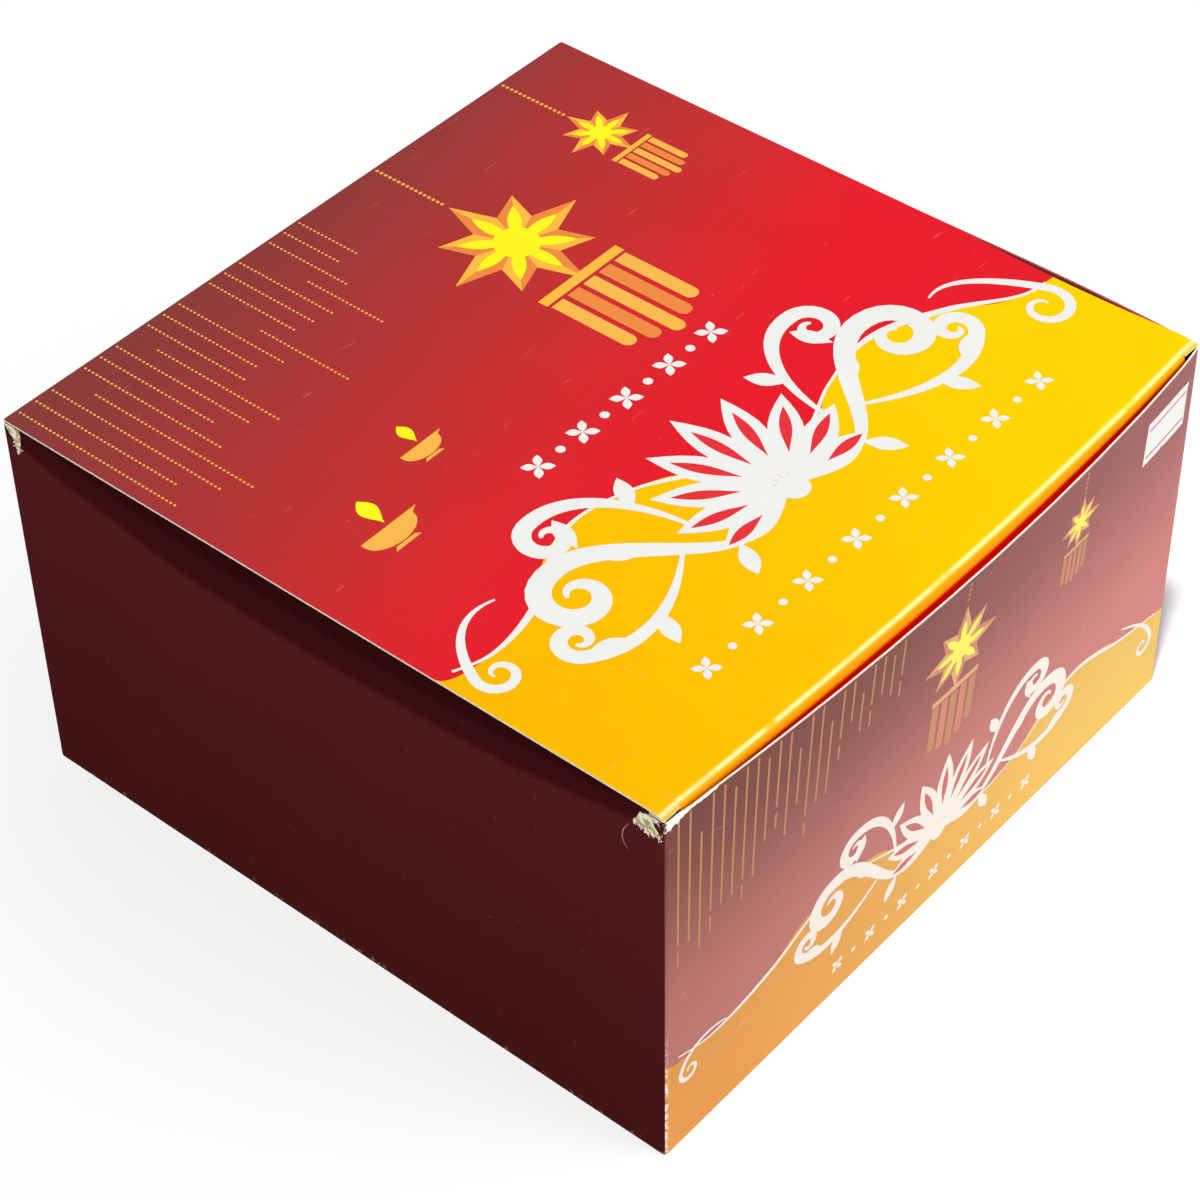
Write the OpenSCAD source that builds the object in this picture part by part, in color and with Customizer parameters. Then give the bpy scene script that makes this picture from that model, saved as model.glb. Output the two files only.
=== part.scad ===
// Square sweet box: a folding carton with a tuck top and a snap-lock bottom.
// Millimetres, +Z up. The origin is the middle of the base, the front wall faces -Y,
// and the lid is hinged on the back wall's top edge.

/* [Carton] */
// Outside width, left to right
carton_w = 203; // [170:1:260]
// Outside depth, front to back
carton_d = 203; // [170:1:260]
// Outside height with the lid shut
carton_h = 114; // [80:1:160]
// Thickness of the board
board_t = 0.5; // [0.35:0.05:0.7]

/* [Slack walls] */
// How far the front wall's raw top edge bellies out
front_bow = 6; // [0:0.1:7]
// How evenly that bow spreads along the wall, 1 is a plain arch and less is fuller
front_fullness = 0.75; // [0.6:0.05:1]
// How far the left wall's top edge is drawn in
left_bow = 4; // [0:0.1:6]
// How far the right wall's top edge bulges out near the front
right_bow = 1.5; // [0:0.1:4]
// How sharply a bow grows with height, 1 is even
bow_rise = 1.3; // [1:0.1:2.5]
// How far the front wall's raw edge lies below the lid's top
front_drop = 1.5; // [1.2:0.1:3]

/* [Lid] */
// How far the lid's edges stand back from the walls' outer faces
lid_inset = 0.25; // [0:0.05:0.5]
// Outer radius of the soft fold between the lid and its tuck flap
fold_r = 2.5; // [1.5:0.1:3]
// Length of the slit at each end of that fold
slit_len = 8; // [4:0.5:15]
// Straight length of the tuck flap below the fold
tuck_len = 22; // [15:0.5:30]
// How far the tuck flap leans inwards, in degrees
tuck_lean = 6; // [5:0.5:9]
// Radius of the tuck flap's lower corners
tuck_corner_r = 12; // [4:0.5:14]

/* [Dust flaps] */
// How far a dust flap reaches in from its side wall
dust_reach = 70; // [50:1:80]
// Taper of a dust flap's edge beside the lid's hinge, in degrees
dust_taper = 25; // [24:1:35]
// Radius of a dust flap's free corners
dust_corner_r = 8; // [3:0.5:12]

/* [Bottom lock] */
// Width of the notch in the slotted flap
notch_w = 104; // [80:1:120]
// How far the notch's edge lies behind the middle of the base
notch_edge = 14; // [10:0.5:20]
// How far the slotted flap's legs pass the notch's edge
leg_len = 28; // [20:1:36]
// How much each leg narrows towards its end
leg_taper = 12; // [0:1:15]
// Cut at each leg's inner corner
leg_cut = 6; // [2:0.5:8]
// Length of the tongue flap's straight sides
tongue_flap_side = 50; // [20:1:60]
// Length of the tongue that lies on the slotted flap
tongue_len = 16; // [12:0.5:24]
// Length of the ramp where the tongue climbs through the notch
ramp_len = 8; // [6:0.5:9]
// Radius of the tongue's free corners
tongue_corner_r = 8; // [3:0.5:10]
// Slope of the bottom side flaps' cut corners, in degrees
side_cut = 45; // [35:1:50]

/* [Side seam] */
// Width of the glued tab at the back right corner
tab_w = 15; // [10:0.5:20]
// Taper of the tab's ends, in degrees
tab_taper = 15; // [5:1:30]
// Thickness of the glue line
glue_t = 0.1; // [0.05:0.01:0.2]
// Width of the glue line
glue_w = 9; // [5:0.5:9.5]

/* [Price sticker] */
// Width of the sticker
sticker_w = 20; // [15:0.5:25]
// Height of the sticker
sticker_h = 13.5; // [10:0.5:16]
// Thickness of the sticker
sticker_t = 0.1; // [0.08:0.01:0.2]
// Gap from the sticker to the right corner
sticker_from_right = 4.5; // [3:0.5:20]
// Gap from the sticker to the top of the carton
sticker_from_top = 9; // [6:0.5:20]

/* [Clearances] */
// Gap at a fold between two panels that move apart
fold_gap = 0.3; // [0.2:0.05:0.4]
// Gap between a wall and the crease of a bottom flap
crease_gap = 0.2; // [0.1:0.05:0.4]
// Gap between a side wall and a dust flap's crease edge, which dips beside it as the flap lifts
dust_crease_gap = 0.5; // [0.45:0.05:0.8]
// Gap between the dust flaps' front edges and the start of the soft fold
dust_front_gap = 0.75; // [0.5:0.05:3]
// Gap between the dust flaps' creases and the back wall
dust_back_gap = 2; // [1:0.1:5]
// Gap between the tongue and each side of the notch
tongue_side_gap = 4; // [2:0.5:8]
// Gap between the tongue's ramp and the notch's edge
tongue_edge_gap = 0.3; // [0.2:0.05:0.5]
// Height at which the seam tab starts above the bottom flaps
tab_foot_gap = 2; // [1:0.5:5]
// Gap between the seam tab's end and the dust flap above it
tab_head_gap = 4; // [2:0.5:8]
// Gap between the sticker's back and the wall
sticker_gap = 0.03; // [0.03:0.01:0.06]

/* [Hidden] */
$fn = 48;

maroon = [0.36, 0.08, 0.11];
print_red = [0.70, 0.10, 0.14];
print_gold = [0.98, 0.74, 0.02];
raw_board = [0.80, 0.76, 0.68];
glue_amber = [0.85, 0.78, 0.55];
sticker_white = [0.94, 0.95, 0.93];

half_w = carton_w / 2;
half_d = carton_d / 2;
inner_half_w = half_w - board_t;
inner_half_d = half_d - board_t;

// Heights of the layers at the top
lid_under_z = carton_h - board_t;
wall_top_z = lid_under_z - fold_gap;
dust_under_z = wall_top_z - board_t;
front_top_z = carton_h - front_drop;

// The soft fold: its centre line, and the angle from straight up where the lid ends
fold_face_y = -(inner_half_d - fold_gap);
fold_cy = fold_face_y + fold_r;
fold_cz = carton_h - fold_r;
fold_mid_r = fold_r - board_t / 2;
lid_lip_angle = 45;
tuck_start_angle = lid_lip_angle + (board_t / 2 + fold_gap) / fold_mid_r * 180 / PI;
tuck_end_angle = 90 + tuck_lean;

lid_half_w = half_w - lid_inset;
crease_half_w = lid_half_w - slit_len;
tuck_half_w = inner_half_w - fold_gap;
hinge_y = half_d - board_t / 2;
hinge_z = carton_h - board_t / 2;

// Heights of the layers at the bottom: tongue flap, side flaps, slotted flap, tongue
side_flap_z = board_t;
slotted_flap_z = 2 * board_t;
tongue_z = 3 * board_t;
bottom_top_z = 4 * board_t;

// Where along a wall its bow is fullest: powers of the share of the length
front_skew = 1.1;
left_skew = 1;
right_skew = 3;
wall_steps = 20;
wall_rows = 6;
corner_steps = 8;

// Share of the full bow at a share s of the wall's length and at a height z
function bow_share(s, skew, fullness, z) =
    pow(max(0, sin(180 * pow(s, skew))), fullness) * pow(z / carton_h, bow_rise);

// The front wall's outer face at x and z
function front_face_y(x, z) =
    -half_d - front_bow * bow_share((x + half_w) / carton_w, front_skew, front_fullness, z);

// A side wall's inner face, as a distance from the middle, at y and z
function left_inner(y, z) =
    inner_half_w - left_bow * bow_share((half_d - y) / carton_d, left_skew, 1, z);
function right_inner(y, z) =
    inner_half_w + right_bow * bow_share((half_d - y) / carton_d, right_skew, 1, z);

// Points of an arc about c, from one angle to another
function arc_points(c, r, from, to) =
    [for (i = [0 : corner_steps]) let (a = from + (to - from) * i / corner_steps)
        c + r * [cos(a), sin(a)]];

// A rounded corner at p between the directions d1 and d2, which point away from it
function round_corner(p, d1, d2, r) =
    let (
        half = acos(d1 * d2) / 2,
        c = p + (d1 + d2) / norm(d1 + d2) * r / sin(half),
        start = p + d1 * r / tan(half) - c,
        end = p + d2 * r / tan(half) - c,
        from = atan2(start[1], start[0]),
        turn = atan2(end[1], end[0]) - from,
        swing = turn > 180 ? turn - 360 : turn < -180 ? turn + 360 : turn
    )
    arc_points(c, r, from, from + swing);

// Extrudes a profile drawn in (y, z) along X, evenly about the middle
module along_x(length) {
    rotate([90, 0, 90])
        linear_extrude(height = length, center = true) children();
}

// A wall that faces -Y, mitred at both ends, with its top drawn out by a bow
module slack_wall(length, reach, top_z, bow, skew, fullness = 1, quiet_end_right = false) {
    n = wall_steps + 1;
    rows = wall_rows + 1;
    function share(i) = quiet_end_right ? 1 - i / wall_steps : i / wall_steps;
    function shift(i, j) = bow * bow_share(share(i), skew, fullness, top_z * j / wall_rows);
    function spot(i, j, half, face) =
        [half * (2 * i / wall_steps - 1), face - shift(i, j), top_z * j / wall_rows];
    outer = [for (j = [0 : wall_rows]) for (i = [0 : wall_steps]) spot(i, j, length / 2, -reach)];
    inner = [for (j = [0 : wall_rows]) for (i = [0 : wall_steps])
        spot(i, j, length / 2 - board_t, board_t - reach)];
    function o(i, j) = j * n + i;
    function q(i, j) = n * rows + j * n + i;
    function pair(a, b, c, d) = [[a, b, c], [a, c, d]];
    faces = [
        for (i = [0 : wall_steps - 1]) for (j = [0 : wall_rows - 1]) each concat(
            pair(o(i, j), o(i, j + 1), o(i + 1, j + 1), o(i + 1, j)),
            pair(q(i, j), q(i + 1, j), q(i + 1, j + 1), q(i, j + 1))),
        for (i = [0 : wall_steps - 1]) each concat(
            pair(o(i, 0), o(i + 1, 0), q(i + 1, 0), q(i, 0)),
            pair(o(i, wall_rows), q(i, wall_rows), q(i + 1, wall_rows), o(i + 1, wall_rows))),
        for (j = [0 : wall_rows - 1]) each concat(
            pair(q(0, j), q(0, j + 1), o(0, j + 1), o(0, j)),
            pair(o(wall_steps, j), o(wall_steps, j + 1), q(wall_steps, j + 1), q(wall_steps, j)))
    ];
    polyhedron(points = concat(outer, inner), faces = faces, convexity = 4);
}

module front_wall() {
    color(print_red)
        slack_wall(carton_w, half_d, front_top_z, front_bow, front_skew, front_fullness);
}

module right_wall() {
    color(maroon) rotate([0, 0, 90])
        slack_wall(carton_d, half_w, wall_top_z, right_bow, right_skew, quiet_end_right = true);
}

module left_wall() {
    color(maroon) rotate([0, 0, -90])
        slack_wall(carton_d, half_w, wall_top_z, -left_bow, left_skew);
}

// The back wall stays flat, because the lid's fold and the glued seam stiffen it
module back_wall() {
    color(maroon)
        linear_extrude(height = wall_top_z)
            polygon([[-half_w, half_d], [half_w, half_d], [inner_half_w, inner_half_d],
                [-inner_half_w, inner_half_d]]);
}

// The tab runs forward from the back right corner, inside the right wall
module side_seam_tab() {
    foot_z = bottom_top_z + tab_foot_gap;
    head_z = dust_under_z - tab_head_gap;
    rise = tab_w * tan(tab_taper);
    color(raw_board)
        translate([inner_half_w - glue_t - board_t / 2, 0, 0])
            along_x(board_t)
                polygon([[inner_half_d, foot_z], [inner_half_d, head_z],
                    [inner_half_d - tab_w, head_z - rise], [inner_half_d - tab_w, foot_z + rise]]);
}

// The glue line fills the space between the tab and the right wall
module seam_glue() {
    foot_z = bottom_top_z + tab_foot_gap + tab_w * tan(tab_taper);
    head_z = dust_under_z - tab_head_gap - tab_w * tan(tab_taper);
    color(glue_amber)
        translate([inner_half_w - glue_t, inner_half_d - tab_w / 2 - glue_w / 2, foot_z])
            cube([glue_t, glue_w, head_z - foot_z]);
}

// The first flap folded in: two legs either side of a notch for the tongue
module bottom_slotted_flap() {
    back_y = inner_half_d - crease_gap;
    leg_y = notch_edge - leg_len;
    side_x = inner_half_w - crease_gap;
    right_side = [[side_x, back_y], [side_x, notch_edge], [side_x - leg_taper, leg_y],
        [notch_w / 2 + leg_cut, leg_y], [notch_w / 2, leg_y + leg_cut], [notch_w / 2, notch_edge]];
    left_side = [for (i = [len(right_side) - 1 : -1 : 0]) [-right_side[i][0], right_side[i][1]]];
    color(raw_board)
        translate([0, 0, slotted_flap_z])
            linear_extrude(height = board_t) polygon(concat(right_side, left_side));
}

// A side flap lies under the slotted flap and over the tongue flap, clear of the tongue's way
module bottom_side_flap(side) {
    crease_x = inner_half_w - crease_gap;
    free_x = notch_w / 2;
    end_y = inner_half_d - crease_gap;
    cut_y = end_y - (crease_x - free_x) * tan(side_cut);
    color(raw_board)
        translate([0, 0, side_flap_z])
            linear_extrude(height = board_t)
                polygon([for (p = [[crease_x, -end_y], [crease_x, end_y], [free_x, cut_y], [free_x, -cut_y]])
                    [side * p[0], p[1]]]);
}

module bottom_side_flap_left() {
    bottom_side_flap(-1);
}

module bottom_side_flap_right() {
    bottom_side_flap(1);
}

// The last flap folded in: its tongue climbs through the notch and lies on the slotted flap
module bottom_tongue_flap() {
    tongue_half_w = notch_w / 2 - tongue_side_gap;
    front_y = -(inner_half_d - crease_gap);
    foot_y = notch_edge - tongue_edge_gap - ramp_len;
    edge_y = notch_edge - tongue_edge_gap;
    end_y = notch_edge + tongue_len;
    root_y = notch_edge - leg_len;
    side_x = inner_half_w - crease_gap;
    side_y = front_y + tongue_flap_side;
    corner = tongue_corner_r;
    color(raw_board) {
        linear_extrude(height = board_t)
            polygon([[-side_x, front_y], [side_x, front_y], [side_x, side_y], [notch_w / 2, root_y],
                [tongue_half_w, root_y], [tongue_half_w, foot_y], [-tongue_half_w, foot_y],
                [-tongue_half_w, root_y], [-notch_w / 2, root_y], [-side_x, side_y]]);
        intersection() {
            along_x(2 * tongue_half_w)
                polygon([[foot_y, 0], [edge_y, tongue_z], [end_y, tongue_z], [end_y, bottom_top_z],
                    [edge_y, bottom_top_z], [foot_y, board_t]]);
            linear_extrude(height = bottom_top_z) {
                translate([-tongue_half_w, foot_y])
                    square([2 * tongue_half_w, end_y - corner - foot_y]);
                translate([corner - tongue_half_w, foot_y])
                    square([2 * (tongue_half_w - corner), end_y - foot_y]);
                for (side = [-1, 1])
                    translate([side * (tongue_half_w - corner), end_y - corner]) circle(r = corner);
            }
        }
    }
}

// A stretch of the soft fold's curved board, drawn in (y, z), from angle a to angle b
module fold_arc(a, b) {
    function ray(t) = [fold_cy - 2 * fold_r * sin(t), fold_cz + 2 * fold_r * cos(t)];
    intersection() {
        translate([fold_cy, fold_cz])
            difference() {
                circle(r = fold_r);
                circle(r = fold_r - board_t);
            }
        polygon([[fold_cy, fold_cz], ray(a), ray((a + b) / 2), ray(b)]);
    }
}

// The lid: a flat panel with a bead on the hinge line, a curved lip at the soft fold,
// and an ear beyond the slit at each end of that fold
module lid_panel() {
    front_y = -(half_d - lid_inset);
    lip = [fold_cy - fold_mid_r * sin(lid_lip_angle), fold_cz + fold_mid_r * cos(lid_lip_angle)];
    color(print_gold) {
        along_x(2 * lid_half_w) {
            translate([fold_cy, lid_under_z]) square([hinge_y - fold_cy, board_t]);
            translate([hinge_y, hinge_z]) circle(r = board_t / 2);
        }
        along_x(2 * crease_half_w) {
            fold_arc(0, lid_lip_angle);
            translate(lip) circle(r = board_t / 2);
        }
        for (side = [-1, 1])
            translate([side * (lid_half_w - slit_len / 2), 0, 0])
                along_x(slit_len)
                    translate([front_y, lid_under_z]) square([fold_cy - front_y, board_t]);
    }
}

// The tuck flap's outline seen from the front, with round lower corners
module tuck_outline(tip_z, top_z) {
    corner = tuck_corner_r;
    translate([-tuck_half_w, tip_z + corner])
        square([2 * tuck_half_w, top_z - tip_z - corner]);
    translate([corner - tuck_half_w, tip_z])
        square([2 * (tuck_half_w - corner), corner]);
    for (side = [-1, 1])
        translate([side * (tuck_half_w - corner), tip_z + corner]) circle(r = corner);
}

// The tuck flap: it carries on the soft fold between the slits, hangs inside the front
// wall, and has shoulders under the lid's ears
module tuck_flap() {
    function on_fold(r) = [fold_cy - r * sin(tuck_end_angle), fold_cz + r * cos(tuck_end_angle)];
    down = [-cos(tuck_end_angle), -sin(tuck_end_angle)] * tuck_len;
    tip_z = on_fold(fold_r - board_t)[1] + down[1];
    color(print_gold) {
        along_x(2 * crease_half_w) fold_arc(tuck_start_angle, tuck_end_angle);
        intersection() {
            along_x(2 * tuck_half_w)
                polygon([on_fold(fold_r), on_fold(fold_r) + down, on_fold(fold_r - board_t) + down,
                    on_fold(fold_r - board_t)]);
            rotate([90, 0, 0])
                linear_extrude(height = 2 * half_d, center = true) tuck_outline(tip_z, carton_h);
        }
    }
}

// A dust flap: its crease follows the side wall's slack top edge, and its edge beside
// the lid's hinge tapers, so that it rises clear of the opening lid
module dust_flap(side) {
    front_y = fold_cy + dust_front_gap;
    back_y = inner_half_d - dust_back_gap;
    free_x = inner_half_w - dust_reach;
    taper = [-cos(dust_taper), -sin(dust_taper)];
    crease_back = [inner_half_w, back_y];
    back_free = crease_back + taper * dust_reach / cos(dust_taper);
    function crease_x(y) =
        (side < 0 ? left_inner(y, wall_top_z) : right_inner(y, wall_top_z)) - dust_crease_gap;
    crease_y = [for (i = [0 : wall_steps]) front_y + (back_y - front_y) * i / wall_steps];
    crease_edge = [for (y = crease_y) [crease_x(y), y]];
    outline = concat(
        crease_edge,
        round_corner(back_free, -taper, [0, -1], dust_corner_r),
        round_corner([free_x, front_y], [0, 1], [1, 0], dust_corner_r));
    color(maroon)
        translate([0, 0, dust_under_z])
            linear_extrude(height = board_t) polygon([for (p = outline) [side * p[0], p[1]]]);
}

module dust_flap_left() {
    dust_flap(-1);
}

module dust_flap_right() {
    dust_flap(1);
}

// The sticker follows the front wall's bow
module price_sticker() {
    steps = 4;
    right_x = half_w - sticker_from_right;
    top_z = carton_h - sticker_from_top;
    function spot(i, j, lift) =
        let (x = right_x - sticker_w * (1 - i / steps), z = top_z - sticker_h * (1 - j / steps))
        [x, front_face_y(x, z) - lift, z];
    n = steps + 1;
    outer = [for (j = [0 : steps]) for (i = [0 : steps]) spot(i, j, sticker_gap + sticker_t)];
    inner = [for (j = [0 : steps]) for (i = [0 : steps]) spot(i, j, sticker_gap)];
    function o(i, j) = j * n + i;
    function q(i, j) = n * n + j * n + i;
    function pair(a, b, c, d) = [[a, b, c], [a, c, d]];
    color(sticker_white)
        polyhedron(points = concat(outer, inner), convexity = 2, faces = [
            for (i = [0 : steps - 1]) for (j = [0 : steps - 1]) each concat(
                pair(o(i, j), o(i, j + 1), o(i + 1, j + 1), o(i + 1, j)),
                pair(q(i, j), q(i + 1, j), q(i + 1, j + 1), q(i, j + 1))),
            for (i = [0 : steps - 1]) each concat(
                pair(o(i, 0), o(i + 1, 0), q(i + 1, 0), q(i, 0)),
                pair(o(i, steps), q(i, steps), q(i + 1, steps), o(i + 1, steps)),
                pair(q(0, i), q(0, i + 1), o(0, i + 1), o(0, i)),
                pair(o(steps, i), o(steps, i + 1), q(steps, i + 1), q(steps, i)))
        ]);
}

front_wall();
back_wall();
left_wall();
right_wall();
side_seam_tab();
seam_glue();
bottom_slotted_flap();
bottom_side_flap_left();
bottom_side_flap_right();
bottom_tongue_flap();
lid_panel();
tuck_flap();
dust_flap_left();
dust_flap_right();
price_sticker();
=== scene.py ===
"""Looks of a square folding carton for sweets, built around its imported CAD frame.

Run as a script. Sizes are in metres once they reach Blender, and the drawing of the
print is in millimetres, as a printer would lay it out on the flat sheet.
"""

import math
import random

import bmesh
import bpy
from mathutils import Matrix, Vector


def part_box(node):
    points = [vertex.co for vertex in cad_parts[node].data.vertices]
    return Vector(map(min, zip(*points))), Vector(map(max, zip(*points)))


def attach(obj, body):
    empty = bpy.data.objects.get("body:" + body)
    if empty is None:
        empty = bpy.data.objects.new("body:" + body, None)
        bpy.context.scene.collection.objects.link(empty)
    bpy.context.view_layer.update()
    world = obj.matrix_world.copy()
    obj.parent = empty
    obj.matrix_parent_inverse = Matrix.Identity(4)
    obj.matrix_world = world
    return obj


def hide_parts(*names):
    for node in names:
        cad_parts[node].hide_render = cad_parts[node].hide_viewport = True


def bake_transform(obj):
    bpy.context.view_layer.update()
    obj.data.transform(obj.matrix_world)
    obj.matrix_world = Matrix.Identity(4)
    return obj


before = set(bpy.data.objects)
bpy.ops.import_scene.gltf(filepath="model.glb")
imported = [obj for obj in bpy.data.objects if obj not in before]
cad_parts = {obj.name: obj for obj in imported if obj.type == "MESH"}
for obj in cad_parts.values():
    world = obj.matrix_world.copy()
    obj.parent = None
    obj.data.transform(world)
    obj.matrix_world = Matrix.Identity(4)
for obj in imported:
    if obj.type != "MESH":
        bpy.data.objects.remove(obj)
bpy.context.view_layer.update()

bl_info = {
    "name": "Square sweet box",
    "version": (1, 0, 0),
    "blender": (4, 5, 0),
    "location": "View3D > Sidebar > Sweet box",
    "description": "Printed folding carton with a tuck top, dressed over its CAD frame",
    "category": "Object",
}

MM = 0.001
UP = Vector((0, 0, 1))
FORWARD = Vector((0, -1, 0))

# Sizes that the frame gives, in millimetres
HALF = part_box("back_wall")[1].y / MM
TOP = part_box("lid_panel")[1].z / MM
WALL_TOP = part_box("back_wall")[1].z / MM
FRONT_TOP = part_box("front_wall")[1].z / MM
LID_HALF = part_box("lid_panel")[1].x / MM
TUCK_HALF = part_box("tuck_flap")[1].x / MM
FRONT_REACH = -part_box("front_wall")[0].y / MM - HALF
RIGHT_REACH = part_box("right_wall")[1].x / MM - HALF

# The board, and how its walls hang slack between their corners, in millimetres
BOARD = 0.5
CORNER_R = 0.9
CORNER_ANGLES = (9, 18, 27, 36, 45)
FRONT_MARGIN = 0.12
RIGHT_MARGIN = 0.10
LEFT_SLACK = 4.0
FRONT_SKEW = 1.1
FRONT_FULLNESS = 0.75
RIGHT_SKEW = 3.0
BOW_RISE = 1.3
WALL_FOOT = 0.03
WALL_COLUMNS = 56
WALL_ROWS = 24
FRONT_FRAY = 0.16
FRAY_SPAN = 30.0

# The lid lies this much below the top of its node, which leaves room for the ink
SKIN = 0.10
SLIT = 5.5
FLAT_END = -96.0
EAR_ROWS = [-98.0, -99.6, -(HALF - 0.25)]
LID_ROWS = 28
LID_COLUMNS = 48
EAR_DROOP = 0.8
EAR_PULL = 1.2
EAR_PULL_START = 30.0
EAR_PULL_LENGTH = 70.0

# The soft fold and the tuck flap. Angles are from straight up, in degrees
FOLD_R = 2.5
FOLD_Y = -98.2
LIP_ANGLE = 45.0
TUCK_ANGLE = 59.3
TUCK_LEAN = 6.0
TUCK_STRAIGHT = 21.9
TUCK_CORNER = 12.0
TUCK_SHOULDER = 3.2
TUCK_REACH = 4.5
TUCK_GAP = 0.45
TUCK_COLUMNS = 56
CREASE_SKIN = 0.2
FLAP_OVERLAP = 0.55
LID_OVERLAP = 0.02
CRISP_ANGLE = 30.0

# Ink lies in layers, each shape of a layer a step above the one before
INK_THICKNESS = 0.012
INK_STEP = 0.0004
INK_STEPS = 32
INK_STRIP = 5.0
INK_BANDS = 8
INK_LIFTS = {"amber": 0.014, "orange": 0.028, "honey": 0.042, "white": 0.042,
             "yellow": 0.056, "rose": 0.056}
WAVE_END = 97.0
TORN_THICKNESS = 0.2
FIBRES_PER_SIDE = 7

# Heights of the golden field's edge, as (share of the width, millimetres)
LID_WAVE = [(0.0, -36), (0.07, -41), (0.16, -38), (0.27, -27), (0.37, -30), (0.47, -42),
            (0.56, -49), (0.66, -42), (0.76, -39), (0.86, -47), (0.94, -58), (1.0, -60)]
WALL_WAVE = [(0.0, 33), (0.08, 29), (0.18, 32), (0.30, 41), (0.42, 34), (0.55, 23),
             (0.66, 25), (0.78, 36), (0.90, 30), (1.0, 26)]
# Lower edge of the painted shadow band under the lid's edge on the slack left wall, from the front to
# the back
LID_SHADE = [(0.0, 111.5), (0.12, 103), (0.35, 95), (0.6, 93), (0.85, 100), (1.0, 110)]

# Where maroon print is rubbed
PALE_MAROON = (0.42, 0.22, 0.20)

# Stage, in metres
FLOOR_RADIUS = 6.0
FLOOR_DROP = 0.0002
GLOW_NEAR = 0.13
GLOW_FAR = 0.24
SKY_FILL = 0.17
SUN_FROM = Vector((-0.28, -0.12, 1.0))
SUN_POWER = 2.85
SUN_ANGLE = 4.0
SOFTBOX_AT = Vector((0.55, -1.15, 0.35))
SOFTBOX_SIZE = (1.2, 0.8)
SOFTBOX_POWER = 10.5
LIGHT_TARGET = Vector((0.0, 0.0, 0.05))
CAMERA_AT = Vector((-0.47076, -0.40549, 0.62991))
CAMERA_AHEAD = Vector((0.54832, 0.47613, -0.68749))
CAMERA_UP = Vector((0.53180, 0.43594, 0.72606))
CAMERA_LENS = 101.3
CAMERA_SENSOR = 36.0


def length(name, description, default):
    return bpy.props.FloatProperty(
        name=name, description=description, default=default * MM, min=0, unit="LENGTH")


def colour(name, description, default):
    return bpy.props.FloatVectorProperty(
        name=name, description=description, default=default, subtype="COLOR")


class SweetBoxSettings(bpy.types.PropertyGroup):
    """Sizes and colours that a user would change."""

    front_bow: length("Front bow", "How far the front wall's raw edge bellies out",
                      FRONT_REACH - FRONT_MARGIN)
    left_bow: length("Left bow", "How far the left wall's top is drawn in", LEFT_SLACK)
    right_bow: length("Right bow", "How far the right wall's top bulges out",
                      RIGHT_REACH - RIGHT_MARGIN)
    fold_share: bpy.props.FloatProperty(
        name="Fold share", description="Share of the front bow that the soft fold follows",
        default=0.55, min=0, max=1.0, subtype="FACTOR")
    # Its default is dark partly as painted shade, for the left wall that the light misses
    maroon: colour("Maroon", "Print near the hinge and on the side walls", (0.105, 0.015, 0.016))
    red: colour("Red", "Print in the middle of the lid", (0.73, 0.012, 0.022))
    grey_board: colour("Grey board", "Unprinted inside of the board", (0.42, 0.37, 0.29))
    raw_edge: colour("Raw edge", "Cut edge of the board", (0.86, 0.82, 0.68))
    paper: colour("Sticker paper", "Paper of the price sticker", (0.72, 0.735, 0.71))


def settings():
    return bpy.context.scene.sweet_box


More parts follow.
